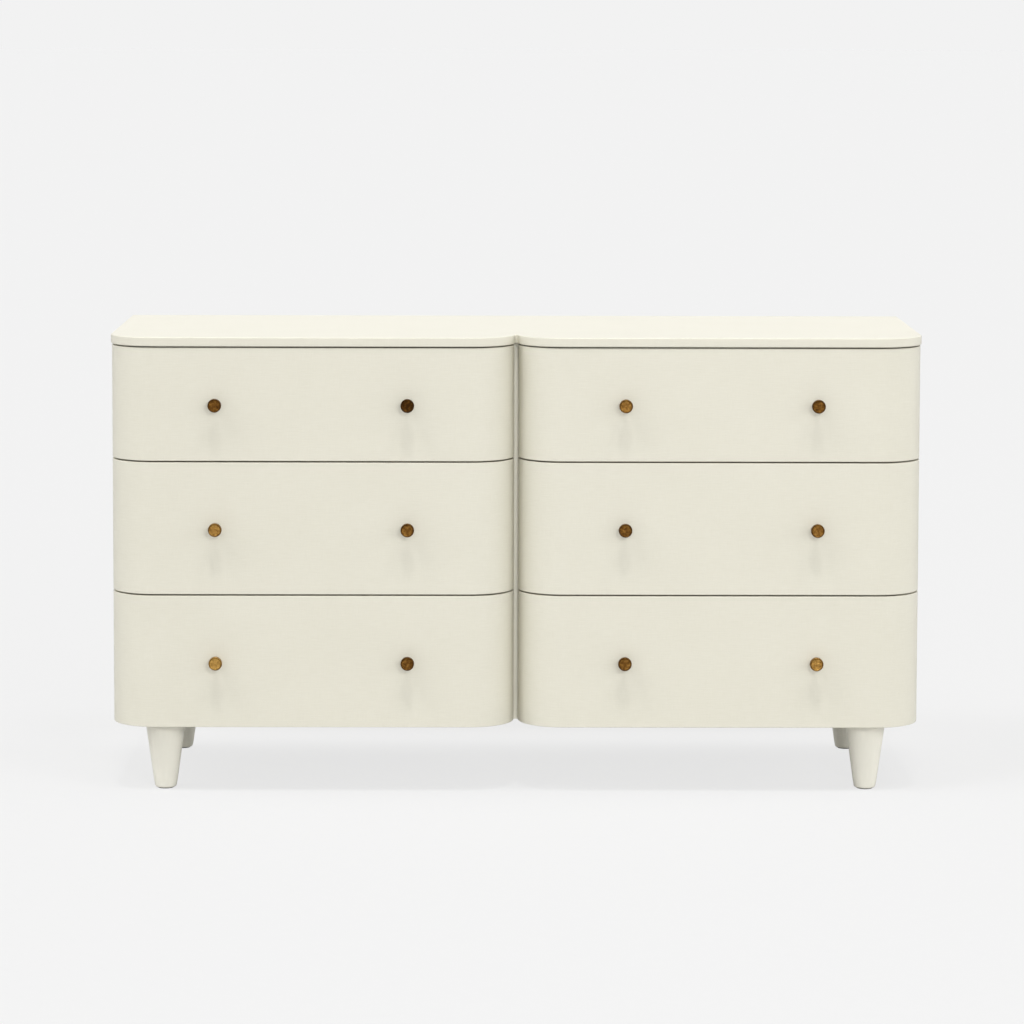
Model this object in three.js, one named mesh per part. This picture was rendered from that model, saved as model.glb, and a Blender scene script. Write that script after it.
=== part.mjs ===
// A six-drawer double dresser with bowed corners, on four round tapered legs.
// Millimetres, +Z up, front facing -Y. The origin is on the floor, under the middle of the whole
// object, knobs included.
import * as THREE from "three";

// ---- Driving dimensions -------------------------------------------------------------------------
const CASE_WIDTH = 1516; // over the drawer fronts and the side panels
const CASE_DEPTH = 504; // from the face of the drawer fronts to the back
const OVERHANG = 2; // of the top past the fronts and the sides
const TOTAL_HEIGHT = 858;
const TOP_THICKNESS = 17;
const LEG_HEIGHT = 127; // floor to the lower edge of the lowest drawer fronts
const SEAM_HEIGHTS = [376, 626, 840]; // middle of the gap above the bottom, middle and top row
const REVEAL = 3; // the gap round a closed drawer front
const FIT = 0.3; // the gap between two pieces that touch

const CORNER_RADIUS = 83; // of a drawer front's bent ends, on the outside
const FRONT_THICKNESS = 20;
const FRONT_RETURN = 1; // straight part of a bent end, past the bend
const CENTRE_GAP = 8; // between the two banks of drawer fronts
const CUSP_FILL = 9; // how much of the sharp notch between the top's two bows is filled

const PANEL_THICKNESS = 19; // side panels
const PARTITION_THICKNESS = 15; // the two uprights behind the post
const BOTTOM_THICKNESS = 18;
const BOTTOM_RISE = 1; // underside of the bottom panel above the fronts' lower edge
const DIVIDER_THICKNESS = 16;
const BACK_THICKNESS = 9;
const POST_GAP = 14; // between the two partitions, filled by the post
const POST_FRONT_Y = 84.6;
const POST_BACK_Y = 150;
const PARTITION_FRONT_Y = 110;
const EDGE_CLEARANCE = 2; // between the boards' front edges and the inside of the drawer fronts

const BOX_THICKNESS = 12; // drawer sides and backs
const BOX_BASE_THICKNESS = 6;
const BOX_BASE_RISE = 8; // underside of the drawer base above the lower edge of the drawer sides
const BOX_BACK_Y = 482; // outer face of a drawer back
const BOX_LIFT = 2; // drawer sides above the board that they run on
const BOX_HEADROOM = 12; // between a drawer side and the divider above it
const BOX_TOP_HEADROOM = 22; // between the highest drawers' sides and the top

const LEG_X = 660;
const FRONT_LEG_Y = 66;
const BACK_LEG_Y = 447;
const LEG_TOP_RADIUS = 38;
const LEG_FOOT_RADIUS = 20.5;
const LEG_FOOT_ROUND = 2;
const LEG_SEGMENTS = 32;

const KNOB_SPREAD = 178.5; // each side of the middle of a drawer
const KNOB_PROJECTION = 26;
const KNOB_RADIUS = 12.7;
const KNOB_HEAD = 10; // thickness of the knob's disc
const KNOB_BEVEL = 1.6;
const KNOB_NECK_RADIUS = 5;
const KNOB_FOOT_RADIUS = 8;
const KNOB_FOOT_THICKNESS = 3;
const KNOB_SEGMENTS = 24;
const ARC_SEGMENTS = 12; // in each quarter-round corner

// ---- Values worked out from them ----------------------------------------------------------------
const HALF_WIDTH = CASE_WIDTH / 2;
const BANK_HALF = (HALF_WIDTH - CENTRE_GAP / 2) / 2; // half the width of one bank of drawers
const BANK_X = CENTRE_GAP / 2 + BANK_HALF; // middle of a bank, each side of the centre
const WRAP_DEPTH = CORNER_RADIUS + FRONT_RETURN; // how far back the bent ends reach
const PANEL_FRONT_Y = WRAP_DEPTH + REVEAL;
const BACK_Y = CASE_DEPTH - BACK_THICKNESS; // inner face of the back panel
const INNER_HALF = HALF_WIDTH - PANEL_THICKNESS - FIT; // reach of the boards between the side panels
const BOARD_INSET = FRONT_THICKNESS + EDGE_CLEARANCE;
const PARTITION_HALF = POST_GAP / 2 + PARTITION_THICKNESS;
const TOP_UNDERSIDE = TOTAL_HEIGHT - TOP_THICKNESS;
const BOTTOM_Z = LEG_HEIGHT + BOTTOM_RISE;
const BOTTOM_TOP_Z = BOTTOM_Z + BOTTOM_THICKNESS;
const BOX_INSET = FRONT_THICKNESS + FIT; // drawer sides and base lie inside the front by this much
const BOX_OUTER = BANK_HALF - BOX_INSET;
const BOX_INNER = BOX_OUTER - BOX_THICKNESS;
const BANKS = [["left", -1], ["right", 1]];
const ENDS = [["left", -1], ["right", 1]];

// ---- Materials ----------------------------------------------------------------------------------
function finish(color, roughness, metalness = 0) {
  return new THREE.MeshStandardMaterial({ color, roughness, metalness });
}
const lacqueredLinen = finish(0xe6e3d3, 0.55);
const lacqueredWood = finish(0xe3e0d0, 0.4);
const drawerWood = finish(0xcdb48c, 0.6);
const casePly = finish(0xc9b592, 0.7);
const agedBrass = finish(0x9a7434, 0.35, 1);

// ---- Helpers ------------------------------------------------------------------------------------
const dresser = new THREE.Group();
dresser.position.y = -(CASE_DEPTH - KNOB_PROJECTION) / 2;

function add(name, geometry, material, x = 0, y = 0, z = 0, parent = dresser) {
  const mesh = new THREE.Mesh(geometry, material.clone());
  mesh.name = name;
  mesh.position.set(x, y, z);
  parent.add(mesh);
  return mesh;
}

// A plan outline, pushed up by height.
function slab(outline, height) {
  return new THREE.ExtrudeGeometry(outline, {
    depth: height,
    bevelEnabled: false,
    curveSegments: ARC_SEGMENTS / 2,
  });
}

// A box given by two opposite corners, in the coordinates of its parent.
function block(name, from, to, material, parent = dresser) {
  const [w, d, h] = to.map((value, i) => Math.abs(value - from[i]));
  const [x, y, z] = to.map((value, i) => (value + from[i]) / 2);
  add(name, new THREE.BoxGeometry(w, d, h), material, x, y, z, parent);
}

function turned(profile, segments) {
  return new THREE.LatheGeometry(profile.map(([r, h]) => new THREE.Vector2(r, h)), segments);
}

// Draws the bowed front line of one bank, left to right, set in from the fronts' face. Each corner
// can stop short of its quarter turn by an angle.
function traceFront(outline, middleX, inset, leftTrim = 0, rightTrim = 0) {
  const radius = CORNER_RADIUS - inset;
  const centre = BANK_HALF - CORNER_RADIUS;
  const straight = 1.5 * Math.PI;
  outline.absarc(middleX - centre, CORNER_RADIUS, radius, Math.PI + leftTrim, straight);
  outline.absarc(middleX + centre, CORNER_RADIUS, radius, straight, 2 * Math.PI - rightTrim);
}

// ---- Case ---------------------------------------------------------------------------------------
function topPanel() {
  const trim = Math.asin(CUSP_FILL / (CORNER_RADIUS + OVERHANG));
  const edge = HALF_WIDTH + OVERHANG;
  const outline = new THREE.Shape();
  traceFront(outline, -BANK_X, -OVERHANG, 0, trim);
  traceFront(outline, BANK_X, -OVERHANG, trim, 0);
  outline.lineTo(edge, CASE_DEPTH);
  outline.lineTo(-edge, CASE_DEPTH);
  outline.closePath();
  add("top_panel", slab(outline, TOP_THICKNESS), lacqueredLinen, 0, 0, TOP_UNDERSIDE);
}

// The bottom panel is notched for the post, which comes down in front of it.
function bottomPanel() {
  const notch = POST_GAP / 2;
  const outline = new THREE.Shape();
  traceFront(outline, -BANK_X, BOARD_INSET);
  outline.lineTo(-PARTITION_HALF, PARTITION_FRONT_Y);
  outline.lineTo(-notch, PARTITION_FRONT_Y);
  outline.lineTo(-notch, POST_BACK_Y + FIT);
  outline.lineTo(notch, POST_BACK_Y + FIT);
  outline.lineTo(notch, PARTITION_FRONT_Y);
  outline.lineTo(PARTITION_HALF, PARTITION_FRONT_Y);
  traceFront(outline, BANK_X, BOARD_INSET);
  outline.lineTo(INNER_HALF, PANEL_FRONT_Y);
  outline.lineTo(INNER_HALF, CASE_DEPTH);
  outline.lineTo(-INNER_HALF, CASE_DEPTH);
  outline.lineTo(-INNER_HALF, PANEL_FRONT_Y);
  outline.closePath();
  add("bottom_panel", slab(outline, BOTTOM_THICKNESS), lacqueredLinen, 0, 0, BOTTOM_Z);
}

function uprights() {
  const top = TOP_UNDERSIDE - FIT;
  for (const [bank, side] of BANKS) {
    const panelFrom = [side * HALF_WIDTH, PANEL_FRONT_Y, LEG_HEIGHT];
    const panelTo = [side * (HALF_WIDTH - PANEL_THICKNESS), CASE_DEPTH, top];
    block(`side_panel_${bank}`, panelFrom, panelTo, lacqueredLinen);

    const partitionFrom = [side * POST_GAP / 2, PARTITION_FRONT_Y, BOTTOM_TOP_Z + FIT];
    const partitionTo = [side * PARTITION_HALF, BACK_Y - FIT, top];
    block(`partition_${bank}`, partitionFrom, partitionTo, casePly);
  }
  const postHalf = POST_GAP / 2 - FIT;
  const postFrom = [-postHalf, POST_FRONT_Y, LEG_HEIGHT];
  block("centre_post", postFrom, [postHalf, POST_BACK_Y, top], lacqueredWood);

  const backFrom = [-INNER_HALF, BACK_Y, BOTTOM_TOP_Z + FIT];
  block("back_panel", backFrom, [INNER_HALF, CASE_DEPTH, top], casePly);
}

// The boards between one drawer and the next, which the drawers run on.
function dividers() {
  for (const [bank, side] of BANKS) {
    const inner = side * (PARTITION_HALF + FIT);
    const outer = side * INNER_HALF;
    const outline = new THREE.Shape();
    traceFront(outline, side * BANK_X, BOARD_INSET);
    const corners = [
      [inner, PARTITION_FRONT_Y],
      [inner, BACK_Y - FIT],
      [outer, BACK_Y - FIT],
      [outer, PANEL_FRONT_Y],
    ];
    const fromTheRight = side > 0 ? corners.reverse() : corners;
    fromTheRight.forEach(([x, y]) => outline.lineTo(x, y));
    outline.closePath();
    for (const [level, seam] of [["lower", SEAM_HEIGHTS[0]], ["upper", SEAM_HEIGHTS[1]]]) {
      const board = slab(outline, DIVIDER_THICKNESS);
      add(`divider_${bank}_${level}`, board, casePly, 0, 0, seam - DIVIDER_THICKNESS / 2);
    }
  }
}

function legs() {
  const leg = turned([
    [0, 0],
    [LEG_FOOT_RADIUS - LEG_FOOT_ROUND, 0],
    [LEG_FOOT_RADIUS, LEG_FOOT_ROUND],
    [LEG_TOP_RADIUS, BOTTOM_Z - FIT],
    [0, BOTTOM_Z - FIT],
  ], LEG_SEGMENTS);
  for (const [row, y] of [["front", FRONT_LEG_Y], ["back", BACK_LEG_Y]]) {
    for (const [end, side] of ENDS) {
      add(`leg_${row}_${end}`, leg, lacqueredWood, side * LEG_X, y).rotation.x = Math.PI / 2;
    }
  }
}

// ---- Drawers ------------------------------------------------------------------------------------
const knobShape = turned([
  [0, FIT],
  [KNOB_FOOT_RADIUS, FIT],
  [KNOB_NECK_RADIUS, KNOB_FOOT_THICKNESS],
  [KNOB_NECK_RADIUS, KNOB_PROJECTION - KNOB_HEAD],
  [KNOB_RADIUS - KNOB_BEVEL, KNOB_PROJECTION - KNOB_HEAD],
  [KNOB_RADIUS, KNOB_PROJECTION - KNOB_HEAD + KNOB_BEVEL],
  [KNOB_RADIUS, KNOB_PROJECTION - KNOB_BEVEL],
  [KNOB_RADIUS - KNOB_BEVEL, KNOB_PROJECTION],
  [0, KNOB_PROJECTION],
], KNOB_SEGMENTS);

// The drawer front, bent back at both ends.
function frontOutline() {
  const innerHalf = BANK_HALF - FRONT_THICKNESS;
  const innerRadius = CORNER_RADIUS - FRONT_THICKNESS;
  const centre = BANK_HALF - CORNER_RADIUS;
  const straight = -Math.PI / 2;
  const outline = new THREE.Shape();
  traceFront(outline, 0, 0);
  outline.lineTo(BANK_HALF, WRAP_DEPTH);
  outline.lineTo(innerHalf, WRAP_DEPTH);
  outline.absarc(centre, CORNER_RADIUS, innerRadius, 0, straight, true);
  outline.absarc(-centre, CORNER_RADIUS, innerRadius, straight, -Math.PI, true);
  outline.lineTo(-innerHalf, WRAP_DEPTH);
  outline.lineTo(-BANK_HALF, WRAP_DEPTH);
  outline.closePath();
  return outline;
}

// How far round its corner the bent front is met by a straight edge at the distance x.
function cornerTrim(x) {
  return Math.acos((x - (BANK_HALF - CORNER_RADIUS)) / (CORNER_RADIUS - BOX_INSET));
}

// A drawer side is shaped at its front to lie against the inside of the bend.
function sideOutline(end) {
  const centre = end * (BANK_HALF - CORNER_RADIUS);
  const radius = CORNER_RADIUS - BOX_INSET;
  const trim = cornerTrim(BOX_INNER);
  const outline = new THREE.Shape();
  const [start, stop] = end < 0 ? [Math.PI, Math.PI + trim] : [0, -trim];
  outline.absarc(centre, CORNER_RADIUS, radius, start, stop, end > 0);
  outline.lineTo(end * BOX_INNER, BOX_BACK_Y);
  outline.lineTo(end * BOX_OUTER, BOX_BACK_Y);
  outline.closePath();
  return outline;
}

// The base fills the space inside the front, the sides and the back.
function baseOutline() {
  const half = BOX_INNER - FIT;
  const backY = BOX_BACK_Y - BOX_THICKNESS - FIT;
  const outline = new THREE.Shape();
  traceFront(outline, 0, BOX_INSET, cornerTrim(half), cornerTrim(half));
  outline.lineTo(half, backY);
  outline.lineTo(-half, backY);
  outline.closePath();
  return outline;
}

function drawer(bank, side, row, [frontLow, frontHigh], [boxLow, boxHigh]) {
  const group = new THREE.Group();
  group.position.x = side * BANK_X;
  dresser.add(group);
  const place = `${bank}_${row}`;

  const front = slab(frontOutline(), frontHigh - frontLow);
  add(`front_${place}`, front, lacqueredLinen, 0, 0, frontLow, group);

  for (const [end, direction] of ENDS) {
    const board = slab(sideOutline(direction), boxHigh - boxLow);
    add(`drawer_side_${place}_${end}`, board, drawerWood, 0, 0, boxLow, group);
    const knob = add(`knob_${place}_${end}`, knobShape, agedBrass, direction * KNOB_SPREAD, 0, 0, group);
    knob.position.z = (frontLow + frontHigh) / 2;
    knob.rotation.x = Math.PI;
  }

  const backHalf = BOX_INNER - FIT;
  const backFrom = [-backHalf, BOX_BACK_Y - BOX_THICKNESS, boxLow];
  block(`drawer_back_${place}`, backFrom, [backHalf, BOX_BACK_Y, boxHigh], drawerWood, group);
  const base = slab(baseOutline(), BOX_BASE_THICKNESS);
  add(`drawer_base_${place}`, base, drawerWood, 0, 0, boxLow + BOX_BASE_RISE, group);
}

function drawers() {
  const gap = REVEAL / 2;
  const board = DIVIDER_THICKNESS / 2;
  const [low, middle, high] = SEAM_HEIGHTS;
  const rows = {
    bottom: [[LEG_HEIGHT, low - gap], [BOTTOM_TOP_Z + BOX_LIFT, low - board - BOX_HEADROOM]],
    middle: [[low + gap, middle - gap], [low + board + BOX_LIFT, middle - board - BOX_HEADROOM]],
    top: [[middle + gap, high - gap], [middle + board + BOX_LIFT, TOP_UNDERSIDE - BOX_TOP_HEADROOM]],
  };
  for (const [bank, side] of BANKS) {
    for (const [row, [front, box]] of Object.entries(rows)) {
      drawer(bank, side, row, front, box);
    }
  }
}

topPanel();
bottomPanel();
uprights();
dividers();
legs();
drawers();

export default dresser;
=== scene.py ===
import math
import random

import bmesh
import bpy
from mathutils import Matrix, Vector


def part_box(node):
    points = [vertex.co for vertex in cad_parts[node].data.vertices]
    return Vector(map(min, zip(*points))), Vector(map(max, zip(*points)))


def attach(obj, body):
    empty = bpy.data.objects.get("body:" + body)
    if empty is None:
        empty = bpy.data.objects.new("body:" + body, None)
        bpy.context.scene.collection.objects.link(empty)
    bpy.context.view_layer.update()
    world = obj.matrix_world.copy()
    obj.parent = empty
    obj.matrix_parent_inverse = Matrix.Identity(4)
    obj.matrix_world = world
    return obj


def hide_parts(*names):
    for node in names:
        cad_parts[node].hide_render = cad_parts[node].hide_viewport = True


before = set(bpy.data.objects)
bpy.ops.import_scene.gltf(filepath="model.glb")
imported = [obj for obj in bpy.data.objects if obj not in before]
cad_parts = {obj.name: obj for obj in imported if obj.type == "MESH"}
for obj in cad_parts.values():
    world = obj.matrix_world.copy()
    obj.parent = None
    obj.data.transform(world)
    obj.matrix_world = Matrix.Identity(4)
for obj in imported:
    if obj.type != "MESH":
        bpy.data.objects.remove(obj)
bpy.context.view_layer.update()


# Lengths are in metres. The drawers open towards -Y.
MM = 0.001

# ---- Sizes read from the frame ------------------------------------------------------------------
BANKS = ("left", "right")
ROWS = ("bottom", "middle", "top")
ENDS = ("left", "right")
TOP_LO, TOP_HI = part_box("top_panel")
FRONTS = {(b, r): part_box(f"front_{b}_{r}") for b in BANKS for r in ROWS}
RIGHT_LO, RIGHT_HI = FRONTS["right", "top"]
BANK_MIDDLE = (RIGHT_LO[0] + RIGHT_HI[0]) / 2
BANK_HALF = (RIGHT_HI[0] - RIGHT_LO[0]) / 2
CASE_FRONT = RIGHT_LO[1]
WRAP_BACK = RIGHT_HI[1]
OVERHANG = CASE_FRONT - TOP_LO[1]

# ---- Bowed fronts and top -----------------------------------------------------------------------
WRAP_STRAIGHT = 1 * MM  # a front's end runs straight for this long behind its bend
CORNER = WRAP_BACK - CASE_FRONT - WRAP_STRAIGHT  # radius of the bent ends
FRONT_THICK = 20 * MM
CUSP_FILL = 9 * MM  # the notch in the top is filled this far forward of where the bends end
TOP_STEPS, OUTER_STEPS, INNER_STEPS = 32, 30, 24

# ---- Legs ---------------------------------------------------------------------------------------
FOOT_RADIUS = 20.5 * MM
FOOT_ROUND = 4 * MM
TAPER_FROM = 2 * MM  # height at which the taper has the foot's radius
PAD = 1.6 * MM  # thickness of the felt glide under the foot
PAD_RADIUS = 15.6 * MM

# ---- Knobs, each on its own upright axis: a base, a waisted stem and a thick disc ----------------
KNOB_RADIUS = 12.7 * MM
KNOB_REACH = 26 * MM
KNOB_DISC = 10 * MM
KNOB_BASE = 8 * MM
KNOB_NECK = 5 * MM
FACE_DEPTH = 0.75 * MM  # the face lies this far short of the reach
DENTS, DENT_DEPTH = 46, 0.22 * MM
DENT_PILE = 1.8  # where dents overlap, they go no deeper than this many
RIBS, RIB_DEPTH = 48, 0.22 * MM
# Radii: the grimy groove's middle and half width, and where the rim's painted shade begins.
GROOVE_AT, GROOVE_HALF, PAINTED_RIM_SHADE_FROM = 10.35 * MM, 0.35 * MM, 10.1 * MM
# How worn each knob is, by bank and row: the left one, then the right one.
WEAR = {
    ("left", "top"): (0.3, 0.06), ("right", "top"): (0.5, 0.3),
    ("left", "middle"): (0.68, 0.4), ("right", "middle"): (0.32, 0.48),
    ("left", "bottom"): (0.9, 0.32), ("right", "bottom"): (0.4, 0.72),
}

# ---- Colours and weave --------------------------------------------------------------------------
WHITE = (1.0, 1.0, 1.0)
CREAM = (0.735, 0.713, 0.615)
LACQUER_TINT = (0.906, 0.882, 0.775)
DRAWER_WOOD = (0.42, 0.27, 0.14), (0.66, 0.49, 0.31)
CASE_WOOD = (0.5, 0.36, 0.21), (0.68, 0.53, 0.35)
FELT_TINT = (0.12, 0.105, 0.09)
# Dark brown mixed into the knobs: real grime in the groove, painted shade on the rim.
GROOVE_GRIME_AND_RIM_SHADE = (0.035, 0.018, 0.006)
WEFT_PITCH, WARP_PITCH = 0.00095, 0.00085
THREAD_WANDER = 0.0009

# ---- Studio -------------------------------------------------------------------------------------
BACKDROP = 0.8879  # tone of the dome round the object
AMBIENT = 0.305
FLOOR_TONE = 0.125  # the floor that is seen: what it reflects, and what it gives off by itself
FLOOR_GLOW = 0.732
BOUNCE_TONE = 0.47  # the floor that lights the object from below
FLOOR_HALF, DOME_RADIUS = 150.0, 140.0
# The narrow overhead light draws the crisp front edge of the shadow. The others soften the rest.
# Each has the direction that it stands in, its share, and its width in degrees.
SUNS = {
    "overhead": ((0.0, -0.32, 1.0), 0.3, 7),
    "overhead_left": ((-0.5, -0.32, 1.0), 0.19, 14),
    "overhead_far_left": ((-1.0, -0.32, 1.0), 0.23, 30),
    "overhead_right": ((0.35, -0.32, 1.0), 0.17, 14),
    "side_left": ((-1.05, -1.0, 0.3), 0.1, 50),
    "side_right": ((1.05, -1.0, 0.35), 0.21, 50),
    "flank_left": ((-1.0, 0.0, 0.3), 0.15, 40),
    "flank_right": ((1.0, 0.0, 0.3), 0.25, 40),
}
# Each has its place, its target, its two sides, and its share. The low one hangs just behind the
# case, no higher than the tops of its legs, and points down, so that the shadow is paler there.
SOFTBOXES = {
    "key": ((1.3, -6.1, 2.6), (0, -0.2, 0.5), (0.8, 0.8), 0.2),
    "low_behind": ((0.0, 0.31, 0.12), (0.0, 0.309, 0.0), (1.5, 0.1), 5.0),
}

# ---- Camera: millimetres, metres and radians -----------------------------------------------------
SENSOR, LENS = 36, 129.41
SHIFT_Y = -0.2  # keeps the upright edges near parallel
CAMERA_AT = (-0.0524, -7.0348, 1.4599)
PITCH, YAW, ROLL = 0.07999, -0.00637, 0.00242

# =================================================================================================
# Node materials
# =================================================================================================


def opaque(value):
    """A colour with its alpha, or any other value as it is."""
    return (*value, 1) if isinstance(value, tuple) and len(value) == 3 else value


def shade(tint, by):
    """A colour times one factor, or one for each channel, and no brighter than white."""
    factors = by if isinstance(by, tuple) else (by,) * 3
    return tuple(min(1.0, c * k) for c, k in zip(tint, factors))


class Shader:
    """A small helper that builds one node material."""

    def __init__(self, name):
        self.mat = bpy.data.materials.new(name)
        self.mat.use_nodes = True
        self.tree = self.mat.node_tree
        self.bsdf = self.tree.nodes["Principled BSDF"]

    def plug(self, socket, value):
        if isinstance(value, bpy.types.NodeSocket):
            self.tree.links.new(value, socket)
        else:
            socket.default_value = value

    def math(self, operation, *values):
        made = self.tree.nodes.new("ShaderNodeMath")
        made.operation = operation
        for socket, value in zip(made.inputs, values):
            self.plug(socket, value)
        return made.outputs[0]

    def plus(self, a, b):
        return self.math("ADD", a, b)

    def times(self, a, b):
        return self.math("MULTIPLY", a, b)

    def swing(self, value, by, middle=0.5):
        """How far value is from middle, times by."""
        return self.times(self.math("SUBTRACT", value, middle), by)

    def weigh(self, a, share_a, b, share_b):
        return self.plus(self.times(a, share_a), self.times(b, share_b))

    def mapped(self, source, scale, shift=(0, 0, 0)):
        made = self.tree.nodes.new("ShaderNodeMapping")
        self.plug(made.inputs["Vector"], source)
        made.inputs["Scale"].default_value = scale
        made.inputs["Location"].default_value = shift
        return made.outputs[0]

    def noise(self, source, scale, detail=3.0, rough=0.5):
        made = self.tree.nodes.new("ShaderNodeTexNoise")
        self.plug(made.inputs["Vector"], source)
        made.inputs["Scale"].default_value = scale
        made.inputs["Detail"].default_value = detail
        made.inputs["Roughness"].default_value = rough
        return made.outputs["Fac"]

    def stretched(self, source, scale, shift, detail=3, rough=0.6):
        """Noise with its own scale along each axis."""
        return self.noise(self.mapped(source, scale, shift), 1.0, detail, rough)

    def ramp(self, value, *stops):
        made = self.tree.nodes.new("ShaderNodeValToRGB")
        self.plug(made.inputs["Fac"], value)
        elements = made.color_ramp.elements
        while len(elements) < len(stops):
            elements.new(0.5)
        for element, (at, colour) in zip(elements, stops):
            element.position = at
            element.color = opaque(colour)
        return made.outputs["Color"]

    def mix(self, factor, a, b):
        made = self.tree.nodes.new("ShaderNodeMix")
        made.data_type = "RGBA"
        self.plug(made.inputs["Factor"], factor)
        for socket, value in ((made.inputs[6], a), (made.inputs[7], b)):
            self.plug(socket, opaque(value))
        return made.outputs[2]

    def bump(self, height, distance, strength):
        made = self.tree.nodes.new("ShaderNodeBump")
        self.plug(made.inputs["Height"], height)
        made.inputs["Distance"].default_value = distance
        made.inputs["Strength"].default_value = strength
        return made.outputs["Normal"]

    def coords(self, which):
        return self.tree.nodes.new("ShaderNodeTexCoord").outputs[which]

    def split(self, vector):
        made = self.tree.nodes.new("ShaderNodeSeparateXYZ")
        self.plug(made.inputs[0], vector)
        return made.outputs

    def join(self, x, y, z):
        made = self.tree.nodes.new("ShaderNodeCombineXYZ")
        for socket, value in zip(made.inputs, (x, y, z)):
            self.plug(socket, value)
        return made.outputs[0]

    def piece_random(self):
        return self.tree.nodes.new("ShaderNodeObjectInfo").outputs["Random"]

    def attribute(self, name):
        made = self.tree.nodes.new("ShaderNodeAttribute")
        made.attribute_name = name
        return made.outputs["Fac"]

    def done(self, **sockets):
        for key, value in sockets.items():
            self.plug(self.bsdf.inputs[key.replace("_", " ")], opaque(value))
        return self.mat


def linen(name, tint):
    """Linen glued to board and lacquered: UV is in metres, u along the weft."""
    s = Shader(name)
    u, v = s.split(s.coords("UV"))[0:2]
    at = s.join(s.plus(u, s.times(s.piece_random(), 7.3)), v, 0.0)
    # The threads wander a little.
    weft_at = s.plus(v, s.swing(s.noise(at, 60, 2), THREAD_WANDER))
    warp_at = s.plus(u, s.swing(s.noise(at, 45, 2), THREAD_WANDER))
    weft = s.math("SINE", s.times(weft_at, 2 * math.pi / WEFT_PITCH))
    warp = s.math("SINE", s.times(warp_at, 2 * math.pi / WARP_PITCH))
    thread = s.weigh(s.times(weft, warp), 0.35, s.plus(weft, warp), 0.22)
    # Thick slubs run along them, and so do longer and fainter streaks.
    slub_u = s.stretched(at, (38, 640, 1), (0, 0, 0))
    slub_v = s.stretched(at, (620, 46, 1), (3.1, 7.7, 0))
    long_u = s.stretched(at, (5, 330, 1), (1.3, 2.9, 0), 4)
    long_v = s.stretched(at, (300, 6, 1), (5.3, 0.4, 0), 4)
    blotch = s.stretched(at, (7, 9, 1), (0, 0, 0), 3, 0.5)
    grain = s.noise(at, 620, 3, 0.6)
    slubs = s.plus(s.weigh(slub_u, 1.0, slub_v, 0.55), s.times(grain, 0.35))
    longs = s.weigh(long_u, 0.6, long_v, 0.4)
    tone = s.plus(s.weigh(slubs, 0.6, longs, 0.2), s.swing(blotch, 0.22))
    tone = s.math("SUBTRACT", s.plus(tone, s.times(thread, 0.04)), 0.3)
    dark = shade(tint, (0.94, 0.935, 0.915))
    light = shade(tint, (1.055, 1.058, 1.07))
    normal = s.bump(s.weigh(thread, 0.35, slubs, 0.5), 0.00016, 0.55)
    return s.done(
        Base_Color=s.ramp(tone, (0.15, dark), (0.85, light)),
        Roughness=s.plus(0.34, s.swing(slubs, 0.25, 0.9)),
        Normal=normal, Specular_IOR_Level=0.22,
    )


def lacquer(name, tint):
    """Sprayed satin lacquer on turned wood: a faint orange peel, with the grain just showing."""
    s = Shader(name)
    at = s.coords("Object")
    peel = s.noise(at, 900, 2, 0.5)
    grain = s.stretched(at, (160, 160, 6), (0, 0, 0), 4)
    soft = s.noise(at, 14, 3, 0.5)
    tone = s.weigh(grain, 0.5, soft, 0.5)
    height = s.weigh(peel, 0.5, grain, 0.6)
    return s.done(
        Base_Color=s.ramp(tone, (0.3, shade(tint, 0.965)), (0.7, shade(tint, 1.03))),
        Roughness=s.plus(0.28, s.times(soft, 0.16)), Normal=s.bump(height, 0.00012, 0.5),
        Specular_IOR_Level=0.45, Coat_Weight=0.15, Coat_Roughness=0.2,
    )


def timber(name, tones, along, ring=1.0, rough_at=0.5, coat=0.0):
    """Sawn or planed boards with grain along one axis of object space."""
    dark, light = tones
    s = Shader(name)
    x, y, z = s.split(s.coords("Object"))[0:3]
    across, through, length = {"x": (y, z, x), "y": (x, z, y), "z": (x, y, z)}[along]
    shift = s.times(s.piece_random(), 31.0)
    a = s.plus(across, shift)
    b = s.plus(through, s.times(shift, 0.37))
    warp = s.noise(s.join(a, b, s.times(length, 0.045)), 7.0, 3, 0.55)
    flow = s.join(s.plus(a, s.times(warp, 0.05)), s.times(b, 1.0), s.times(length, 0.05))
    rings = s.math("SINE", s.times(s.noise(flow, 5.0 * ring, 2, 0.5), 95.0))
    streak = s.noise(s.join(a, b, s.times(length, 0.012)), 420, 3, 0.6)
    pores = s.noise(s.join(a, b, s.times(length, 0.04)), 1500, 2, 0.6)
    tone = s.plus(s.weigh(rings, 0.16, streak, 0.75), s.times(warp, 0.3))
    pore = s.times(s.math("GREATER_THAN", pores, 0.66), 0.25)
    height = s.weigh(streak, 0.6, pores, 0.5)
    return s.done(
        Base_Color=s.mix(pore, s.ramp(tone, (0.28, dark), (0.85, light)), shade(dark, 0.55)),
        Roughness=s.plus(rough_at, s.times(streak, 0.15)), Normal=s.bump(height, 0.0002, 0.5),
        Specular_IOR_Level=0.35, Coat_Weight=coat, Coat_Roughness=0.3,
    )


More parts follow.
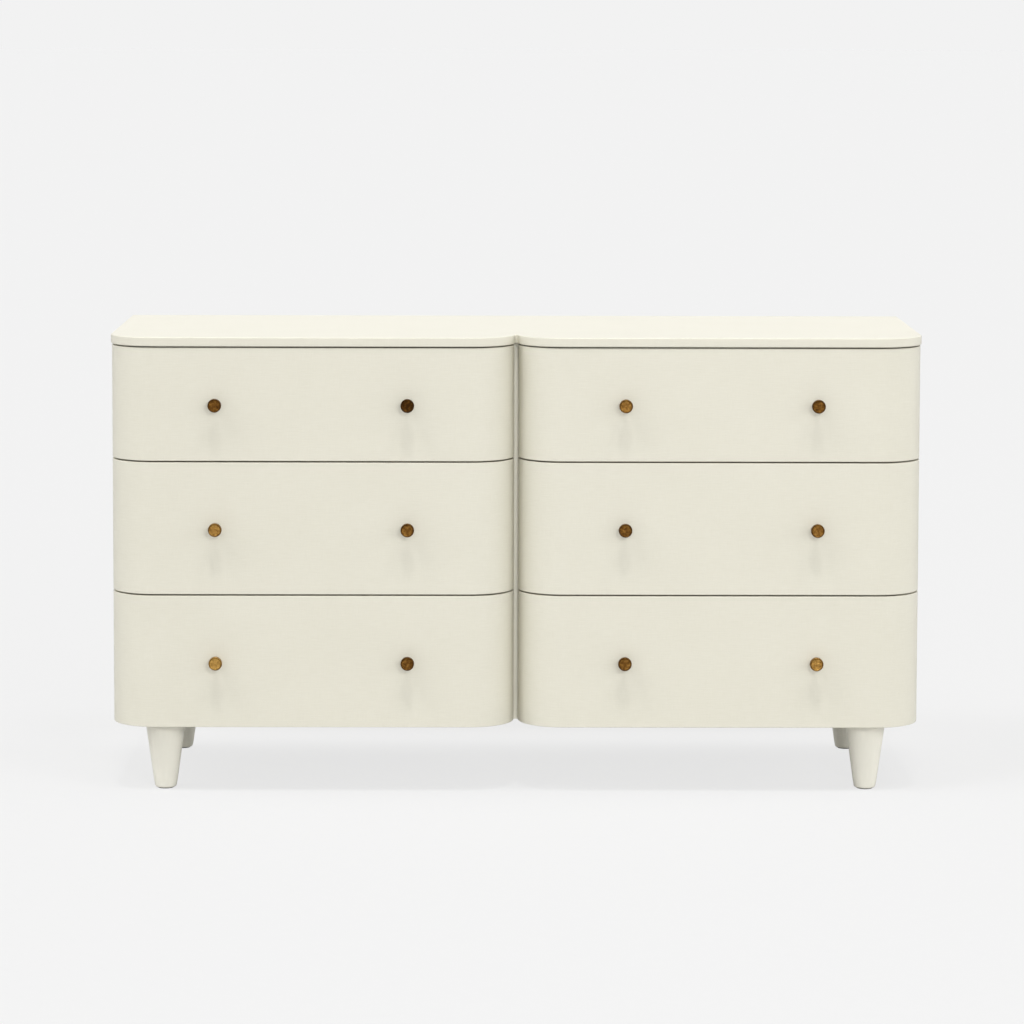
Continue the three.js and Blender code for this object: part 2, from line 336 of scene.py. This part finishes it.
def brass(name):
    """Aged brass: bright where it is worn, brown elsewhere. Each knob says how worn it is."""
    s = Shader(name)
    wear = s.attribute("wear")
    x, y, z = s.split(s.coords("Object"))[0:3]
    field = s.join(s.plus(x, s.times(wear, 3.0)), y, z)
    patina = s.noise(field, 210, 4, 0.65)
    spots = s.noise(field, 1100, 3, 0.6)
    amount = s.plus(s.plus(wear, s.swing(patina, 1.3)), s.swing(spots, 0.6))
    colour = s.ramp(
        amount, (0.0, (0.046, 0.019, 0.0045)), (0.35, (0.163, 0.073, 0.015)),
        (0.65, (0.336, 0.177, 0.043)), (1.0, (0.59, 0.35, 0.095)),
    )
    # Grime stays in the groove inside the rim, and the rim itself is darkened with painted shade.
    radius = s.math("SQRT", s.plus(s.times(x, x), s.times(y, y)))
    rim = s.math("GREATER_THAN", radius, PAINTED_RIM_SHADE_FROM)
    groove = s.math("COMPARE", radius, GROOVE_AT, GROOVE_HALF)
    return s.done(
        Base_Color=s.mix(s.weigh(rim, 0.5, groove, 0.3), colour, GROOVE_GRIME_AND_RIM_SHADE), Metallic=1.0,
        Roughness=s.math("SUBTRACT", 0.6, s.times(amount, 0.26)),
        Normal=s.bump(spots, 0.0001, 0.5),
    )


def felt(name, tint):
    """Pressed felt, with a fine speckle."""
    s = Shader(name)
    speck = s.noise(s.coords("Object"), 500, 3, 0.6)
    return s.done(
        Base_Color=s.ramp(speck, (0.3, shade(tint, 0.8)), (0.7, shade(tint, 1.15))),
        Roughness=s.plus(0.9, s.swing(speck, 0.25)), Normal=s.bump(speck, 0.00015, 0.4),
    )


LINEN = linen("lacquered_linen", CREAM)
LACQUER = lacquer("lacquered_wood", LACQUER_TINT)
DRAWER_X = timber("drawer_wood_x", DRAWER_WOOD, "x", coat=0.1)
DRAWER_Y = timber("drawer_wood_y", DRAWER_WOOD, "y", coat=0.1)
PLY_X = timber("case_ply_x", CASE_WOOD, "x", ring=1.6, rough_at=0.6)
PLY_Z = timber("case_ply_z", CASE_WOOD, "z", ring=1.6, rough_at=0.6)
BRASS = brass("aged_brass")
FELT = felt("felt", FELT_TINT)

# =================================================================================================
# Mesh helpers
# =================================================================================================


def placed(name, data):
    made = bpy.data.objects.new(name, data)
    bpy.context.scene.collection.objects.link(made)
    return made


def link(name, mesh, material, body):
    """A new piece of the object, which moves with a CAD body."""
    made = placed(name, mesh)
    mesh.materials.append(material)
    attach(made, body)
    return made


def bevel(obj, width, segments, angle):
    m = obj.modifiers.new("ease", "BEVEL")
    m.width = width
    m.segments = segments
    m.limit_method = "ANGLE"
    m.angle_limit = math.radians(angle)
    return m


def ease(obj, width, segments=3):
    """Rounds the sharp edges."""
    bevel(obj, width, segments, 40).harden_normals = True
    for p in obj.data.polygons:
        p.use_smooth = True


def ease_rims(obj, width):
    """Rounds the top and bottom rims of a pushed-up outline and leaves its upright edges crisp."""
    ease(obj, width)
    obj.modifiers["ease"].limit_method = "WEIGHT"
    mesh = obj.data
    z = [v.co.z for v in mesh.vertices]
    level = [abs(z[a] - z[b]) < 1e-6 for a, b in mesh.edge_keys]
    mesh.attributes.new("bevel_weight_edge", "FLOAT", "EDGE").data.foreach_set("value", level)


def arc(cx, cy, radius, a0, a1, steps):
    turn = [a0 + (a1 - a0) * i / steps for i in range(steps + 1)]
    return [(cx + radius * math.cos(a), cy + radius * math.sin(a)) for a in turn]


def bow(middle, inset, steps, left_trim=0.0, right_trim=0.0):
    """The bowed front line of one bank, left to right, set in from the fronts' face."""
    radius = CORNER - inset
    y = CASE_FRONT + CORNER
    reach = BANK_HALF - CORNER
    down = 1.5 * math.pi
    left = arc(middle - reach, y, radius, math.pi + left_trim, down, steps)
    right = arc(middle + reach, y, radius, down, 2 * math.pi - right_trim, steps)
    return left + right


def mesh_from(bm, name):
    mesh = bpy.data.meshes.new(name)
    bm.to_mesh(mesh)
    bm.free()
    return mesh


def slab(name, outline, z0, z1):
    """Pushes a closed plan outline up. UV in metres: (length along the edge, z) or (x, y)."""
    bm = bmesh.new()
    uv = bm.loops.layers.uv.new("UVMap")
    n = len(outline)
    low = [bm.verts.new((x, y, z0)) for x, y in outline]
    high = [bm.verts.new((x, y, z1)) for x, y in outline]
    along = [0.0]
    for i in range(n):
        (ax, ay), (bx, by) = outline[i], outline[(i + 1) % n]
        along.append(along[-1] + math.hypot(bx - ax, by - ay))
    for i in range(n):
        j = (i + 1) % n
        start, end = along[i], along[i + 1]
        face = bm.faces.new((low[i], low[j], high[j], high[i]))
        for loop, at in zip(face.loops, ((start, z0), (end, z0), (end, z1), (start, z1))):
            loop[uv].uv = at
    for ring in (list(reversed(low)), high):
        face = bm.faces.new(ring)
        for loop in face.loops:
            loop[uv].uv = loop.vert.co.xy
    bmesh.ops.recalc_face_normals(bm, faces=bm.faces)
    return mesh_from(bm, name)


def turned(name, profile, steps, wobble=None):
    """A solid turned about its own Z, from (radius, height) pairs that begin and end on it."""
    bm = bmesh.new()
    rings = []
    for r, h in profile:
        if r < 1e-7:
            rings.append([bm.verts.new((0, 0, h))])
        else:
            ring = []
            for k in range(steps):
                a = 2 * math.pi * k / steps
                rr, hh = (r, h) if wobble is None else wobble(r, h, a)
                ring.append(bm.verts.new((rr * math.cos(a), rr * math.sin(a), hh)))
            rings.append(ring)
    for below, above in zip(rings, rings[1:]):
        for k in range(steps):
            j = (k + 1) % steps
            corners = [below[k % len(below)], below[j % len(below)]]
            corners += [above[j % len(above)], above[k % len(above)]]
            unique = list(dict.fromkeys(corners))
            if len(unique) >= 3:
                bm.faces.new(unique)
    bmesh.ops.recalc_face_normals(bm, faces=bm.faces)
    mesh = mesh_from(bm, name)
    for p in mesh.polygons:
        p.use_smooth = True
    return mesh


# =================================================================================================
# Case
# =================================================================================================


def build_top():
    trim = math.asin(CUSP_FILL / (CORNER + OVERHANG))
    outline = bow(-BANK_MIDDLE, -OVERHANG, TOP_STEPS, 0, trim)
    outline += bow(BANK_MIDDLE, -OVERHANG, TOP_STEPS, trim, 0)
    outline += [(TOP_HI[0], TOP_HI[1]), (TOP_LO[0], TOP_HI[1])]
    mesh = slab("top", outline, TOP_LO[2], TOP_HI[2])
    top = link("top", mesh, LINEN, "case")
    ease(top, 1.8 * MM, 4)
    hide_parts("top_panel")


def build_sides():
    for bank in BANKS:
        lo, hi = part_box(f"side_panel_{bank}")
        outline = [(lo[0], lo[1]), (hi[0], lo[1]), (hi[0], hi[1]), (lo[0], hi[1])]
        mesh = slab("side", outline, lo[2], hi[2])
        side = link(f"side_{bank}", mesh, LINEN, "case")
        ease(side, 1.5 * MM)
        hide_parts(f"side_panel_{bank}")


def leg_mesh(head, top):
    profile = [(0, PAD), (FOOT_RADIUS - FOOT_ROUND, PAD)]
    round_steps, taper_steps = 6, 14
    for i in range(1, round_steps + 1):
        a = math.pi / 2 * i / round_steps
        r = FOOT_RADIUS - FOOT_ROUND + FOOT_ROUND * math.sin(a)
        profile.append((r, PAD + FOOT_ROUND * (1 - math.cos(a))))
    for i in range(1, taper_steps + 1):
        t = i / taper_steps
        z = PAD + FOOT_ROUND + (top - PAD - FOOT_ROUND) * t
        r = FOOT_RADIUS + (head - FOOT_RADIUS) * (z - TAPER_FROM) / (top - TAPER_FROM)
        profile.append((r, z))
    profile.append((0, top))
    return turned("leg", profile, 72)


def glide_mesh():
    height = PAD + 0.2 * MM  # it reaches a little way into the foot
    profile = [(0, 0), (15 * MM, 0), (PAD_RADIUS, 0.5 * MM), (PAD_RADIUS, height), (0, height)]
    return turned("glide", profile, 40)


def build_legs():
    for row in ("front", "back"):
        for end in ENDS:
            lo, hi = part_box(f"leg_{row}_{end}")
            centre = Vector(((lo[0] + hi[0]) / 2, (lo[1] + hi[1]) / 2, 0))
            mesh = leg_mesh((hi[0] - lo[0]) / 2, hi[2])
            leg = link(f"tapered_leg_{row}_{end}", mesh, LACQUER, "case")
            leg.location = centre
            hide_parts(f"leg_{row}_{end}")
            glide = link(f"felt_glide_{row}_{end}", glide_mesh(), FELT, "case")
            glide.location = centre


def dress(node, material, width_mm):
    """Gives a CAD node that stays in view its material and softer edges."""
    node.data.materials.clear()
    node.data.materials.append(material)
    bevel(node, width_mm * MM, 2, 50)


def finish_cad_case():
    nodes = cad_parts
    looks = {
        "bottom_panel": (LINEN, 1.0), "centre_post": (LACQUER, 0.6), "back_panel": (PLY_X, 0.4),
        "partition_left": (PLY_Z, 0.8), "partition_right": (PLY_Z, 0.8),
        "divider_left_lower": (PLY_X, 0.8), "divider_left_upper": (PLY_X, 0.8),
        "divider_right_lower": (PLY_X, 0.8), "divider_right_upper": (PLY_X, 0.8),
    }
    for node, (material, width) in looks.items():
        dress(nodes[node], material, width)


# =================================================================================================
# Drawers
# =================================================================================================


def build_front(bank, row):
    lo, hi = FRONTS[bank, row]
    middle = (lo[0] + hi[0]) / 2
    back = hi[1]
    outline = [(lo[0], back)] + bow(middle, 0, OUTER_STEPS)
    outline += [(hi[0], back), (hi[0] - FRONT_THICK, back)]
    outline += list(reversed(bow(middle, FRONT_THICK, INNER_STEPS)))
    outline += [(lo[0] + FRONT_THICK, back)]
    mesh = slab("front", outline, lo[2], hi[2])
    name, body = f"drawer_front_{bank}_{row}", f"drawer_{bank}_{row}"
    front = link(name, mesh, LINEN, body)
    ease_rims(front, 1.2 * MM)
    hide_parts(f"front_{bank}_{row}")


def knob_profile():
    back, face = KNOB_REACH - KNOB_DISC, KNOB_REACH - FACE_DEPTH
    profile = [
        (0, 0.3 * MM), (KNOB_BASE - 0.4 * MM, 0.3 * MM), (KNOB_BASE, 0.8 * MM),
        (KNOB_BASE, 1.7 * MM), (KNOB_BASE - 0.5 * MM, 2.2 * MM),
    ]
    for i in range(7):
        t = i / 6
        waist = KNOB_NECK + (KNOB_BASE - 1.2 * MM - KNOB_NECK) * (1 - t) ** 2.2
        profile.append((waist, 2.2 * MM + 6 * MM * t))
    profile += [
        (KNOB_NECK, back - 2.4 * MM), (KNOB_NECK + 0.5 * MM, back - 1 * MM),
        (KNOB_NECK + 2 * MM, back), (KNOB_RADIUS - 1.5 * MM, back + 0.2 * MM),
        (KNOB_RADIUS - 0.6 * MM, back + 0.7 * MM), (KNOB_RADIUS, back + 1.5 * MM),
        (KNOB_RADIUS, KNOB_REACH - 3.4 * MM), (KNOB_RADIUS, KNOB_REACH - 1.9 * MM),
        (KNOB_RADIUS - 0.5 * MM, KNOB_REACH - 0.7 * MM),
        (KNOB_RADIUS - 1.3 * MM, KNOB_REACH - 0.25 * MM),
        (KNOB_RADIUS - 2.1 * MM, KNOB_REACH - 0.35 * MM),
    ]
    inner = KNOB_RADIUS - 2.4 * MM
    return profile + [(inner - inner * i / 11, face) for i in range(11)] + [(0, face)]


def knob_mesh(seed):
    """A disc on a waisted stem. Its face is lightly hammered and its rim is finely ribbed."""
    rng = random.Random(seed)
    dents = []
    for _ in range(DENTS):
        out = rng.uniform(0, 1) ** 0.5 * (KNOB_RADIUS - 2.5 * MM)
        turn, width = rng.uniform(0, 2 * math.pi), rng.uniform(0.9, 2.0) * MM
        dents.append((out * math.cos(turn), out * math.sin(turn), width))

    def wobble(r, h, a):
        if h > KNOB_REACH - 0.8 * MM and r < KNOB_RADIUS - 2.2 * MM:
            x, y = r * math.cos(a), r * math.sin(a)
            deep = sum(
                math.exp(-((x - dx) ** 2 + (y - dy) ** 2) / (width * width))
                for dx, dy, width in dents
            )
            return r, h - min(deep, DENT_PILE) * DENT_DEPTH
        if r >= KNOB_RADIUS - 1e-6:
            return r - RIB_DEPTH * (0.5 + 0.5 * math.cos(RIBS * a)), h
        return r, h

    return turned("knob", knob_profile(), 192, wobble)


def build_knobs(bank, row):
    for end in ENDS:
        lo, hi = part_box(f"knob_{bank}_{row}_{end}")
        seed = BANKS.index(bank) * 6 + ROWS.index(row) * 2 + ENDS.index(end)
        name, body = f"brass_knob_{bank}_{row}_{end}", f"drawer_{bank}_{row}"
        knob = link(name, knob_mesh(seed + 1), BRASS, body)
        centre = Vector(((lo[0] + hi[0]) / 2, CASE_FRONT, (lo[2] + hi[2]) / 2))
        turn = Matrix.Rotation(math.radians(37 * seed), 4, "Z")
        forward = Matrix.Rotation(math.pi / 2, 4, "X")
        knob.matrix_world = Matrix.Translation(centre) @ forward @ turn
        worn = knob.data.attributes.new("wear", "FLOAT", "POINT").data
        worn.foreach_set("value", [WEAR[bank, row][ENDS.index(end)]] * len(worn))
        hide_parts(f"knob_{bank}_{row}_{end}")


def build_drawers():
    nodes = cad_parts
    for bank in BANKS:
        for row in ROWS:
            build_front(bank, row)
            build_knobs(bank, row)
            place = f"{bank}_{row}"
            for end in ENDS:
                dress(nodes[f"drawer_side_{place}_{end}"], DRAWER_Y, 0.8)
            dress(nodes[f"drawer_back_{place}"], DRAWER_X, 0.8)
            dress(nodes[f"drawer_base_{place}"], DRAWER_X, 0.3)


# =================================================================================================
# Floor, light and camera
# =================================================================================================


def show_to(obj, *rays):
    for ray in ("camera", "diffuse", "glossy", "shadow"):
        setattr(obj, f"visible_{ray}", ray in rays)


def build_sheet(name, tone, glow, z, *rays):
    """A flat square of paper on the floor, and which rays it shows itself to."""
    bm = bmesh.new()
    bmesh.ops.create_grid(bm, x_segments=8, y_segments=8, size=FLOOR_HALF)
    mesh = mesh_from(bm, name)
    s = Shader(f"{name}_paper")
    fibre = s.noise(s.coords("Object"), 40, 3, 0.5)
    mesh.materials.append(s.done(
        Base_Color=s.ramp(fibre, (0.2, (tone * 0.98,) * 3), (0.8, (tone * 1.02,) * 3)),
        Roughness=0.95, Specular_IOR_Level=0.0, Emission_Color=WHITE, Emission_Strength=glow,
    ))
    sheet = placed(name, mesh)
    sheet.location = (0, 0, z)
    show_to(sheet, *rays)


def build_stage():
    # The floor that is seen is partly self-lit, which keeps its shadows pale. The one that lights
    # the object's underside is plain paper, which the camera doesn't see.
    build_sheet("floor", FLOOR_TONE, FLOOR_GLOW, -0.3 * MM, "camera")
    build_sheet("bounce", BOUNCE_TONE, 0.0, -0.6 * MM, "diffuse", "glossy", "shadow")
    # A dome of the backdrop's tone, which lights nothing but shows in reflections.
    bm = bmesh.new()
    bmesh.ops.create_icosphere(bm, subdivisions=4, radius=DOME_RADIUS)
    mesh = mesh_from(bm, "backdrop")
    mesh.materials.append(Shader("backdrop_paper").done(
        Base_Color=(0.0, 0.0, 0.0), Roughness=1.0, Specular_IOR_Level=0.0,
        Emission_Color=WHITE, Emission_Strength=BACKDROP,
    ))
    dome = placed("backdrop", mesh)
    show_to(dome, "camera", "glossy")


def build_sun(name, towards, share, width):
    """A distant soft light. share is what it adds to a white surface that faces it."""
    data = bpy.data.lights.new(name, "SUN")
    data.energy = share * math.pi
    data.angle = math.radians(width)
    made = placed(name, data)
    made.location = Vector(towards) * 4
    made.rotation_euler = Vector(towards).to_track_quat("Z", "Y").to_euler()


def build_softbox(name, place, target, size, share):
    """A rectangular lamp. share is what it adds at the target to a white surface that faces it, as
    long as it is small for its distance. The low one isn't, and adds about a tenth of its share."""
    data = bpy.data.lights.new(name, "AREA")
    data.shape = "RECTANGLE"
    data.size, data.size_y = size
    away = Vector(target) - Vector(place)
    data.energy = share * math.pi**2 * away.length_squared
    made = placed(name, data)
    made.location = place
    made.rotation_euler = away.to_track_quat("-Z", "Y").to_euler()
    made.visible_camera = False


def build_light():
    world = bpy.data.worlds.new("studio")
    bpy.context.scene.world = world
    world.use_nodes = True
    background = world.node_tree.nodes["Background"]
    background.inputs["Color"].default_value = opaque(WHITE)
    background.inputs["Strength"].default_value = AMBIENT
    for name, settings in SUNS.items():
        build_sun(name, *settings)
    for name, settings in SOFTBOXES.items():
        build_softbox(name, *settings)


def build_camera():
    data = bpy.data.cameras.new("camera")
    data.sensor_fit = "HORIZONTAL"
    data.sensor_width = SENSOR
    data.lens = LENS
    data.shift_y = SHIFT_Y
    camera = placed("camera", data)
    level = Matrix.Rotation(YAW, 4, "Z") @ Matrix.Rotation(math.pi / 2 - PITCH, 4, "X")
    turn = level @ Matrix.Rotation(ROLL, 4, "Z")
    camera.matrix_world = Matrix.Translation(CAMERA_AT) @ turn
    bpy.context.scene.camera = camera


build_top()
build_sides()
build_legs()
finish_cad_case()
build_drawers()
build_stage()
build_light()
build_camera()

bpy.context.scene.view_settings.view_transform = "Standard"
bpy.context.scene.view_settings.look = "None"
